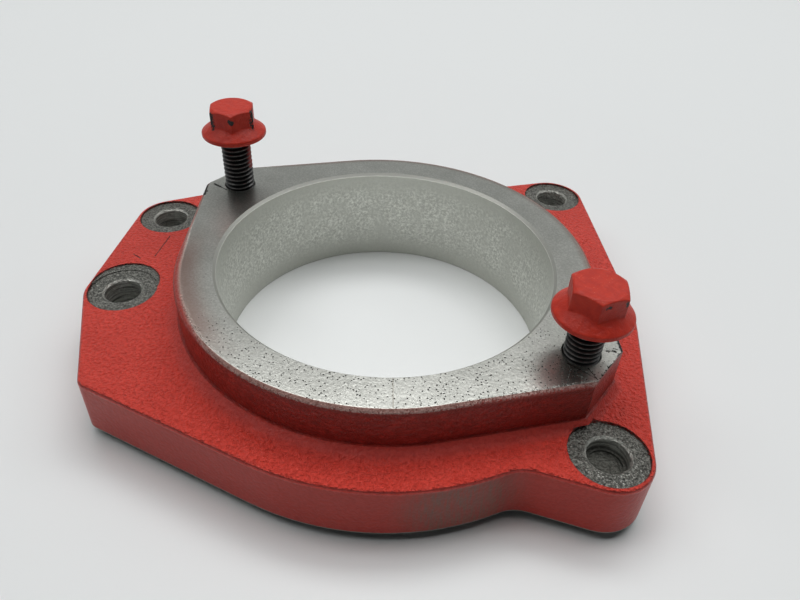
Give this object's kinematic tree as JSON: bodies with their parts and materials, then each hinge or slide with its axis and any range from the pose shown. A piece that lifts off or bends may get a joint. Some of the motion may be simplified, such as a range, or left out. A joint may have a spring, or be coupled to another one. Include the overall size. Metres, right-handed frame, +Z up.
{
  "type": "pipe flange",
  "caption": "Painted cast iron pipe flange with a large through bore, a raised machined joint face with screwed-in flange bolts, and an angular base plate with spotfaced mounting holes.",
  "frame": {"origin": "centre of the bore, on the underside of the foot ring that the casting stands on", "axes": "+Z up along the bore towards the raised joint face, +X through the two bolts towards the right one, +Y to the rear"},
  "size_m": [0.1569, 0.1514, 0.051],
  "materials": {
    "painted_casting": "red enamel on rough cast iron, bare where machined",
    "painted_bolt": "red enamel on the head, black oiled thread"
  },
  "bodies": {
    "casting": {"flange_casting": "painted_casting"},
    "left_bolt": {"left_bolt": "painted_bolt"},
    "right_bolt": {"right_bolt": "painted_bolt"}
  },
  "joints": [
    {"name": "left_bolt_travel", "type": "slide", "parent": "casting", "child": "left_bolt", "axis": [0, 0, 1], "range_m": [-0.01505, 0.0085]},
    {"name": "right_bolt_travel", "type": "slide", "parent": "casting", "child": "right_bolt", "axis": [0, 0, 1], "range_m": [-0.01025, 0.0133]}
  ]
}
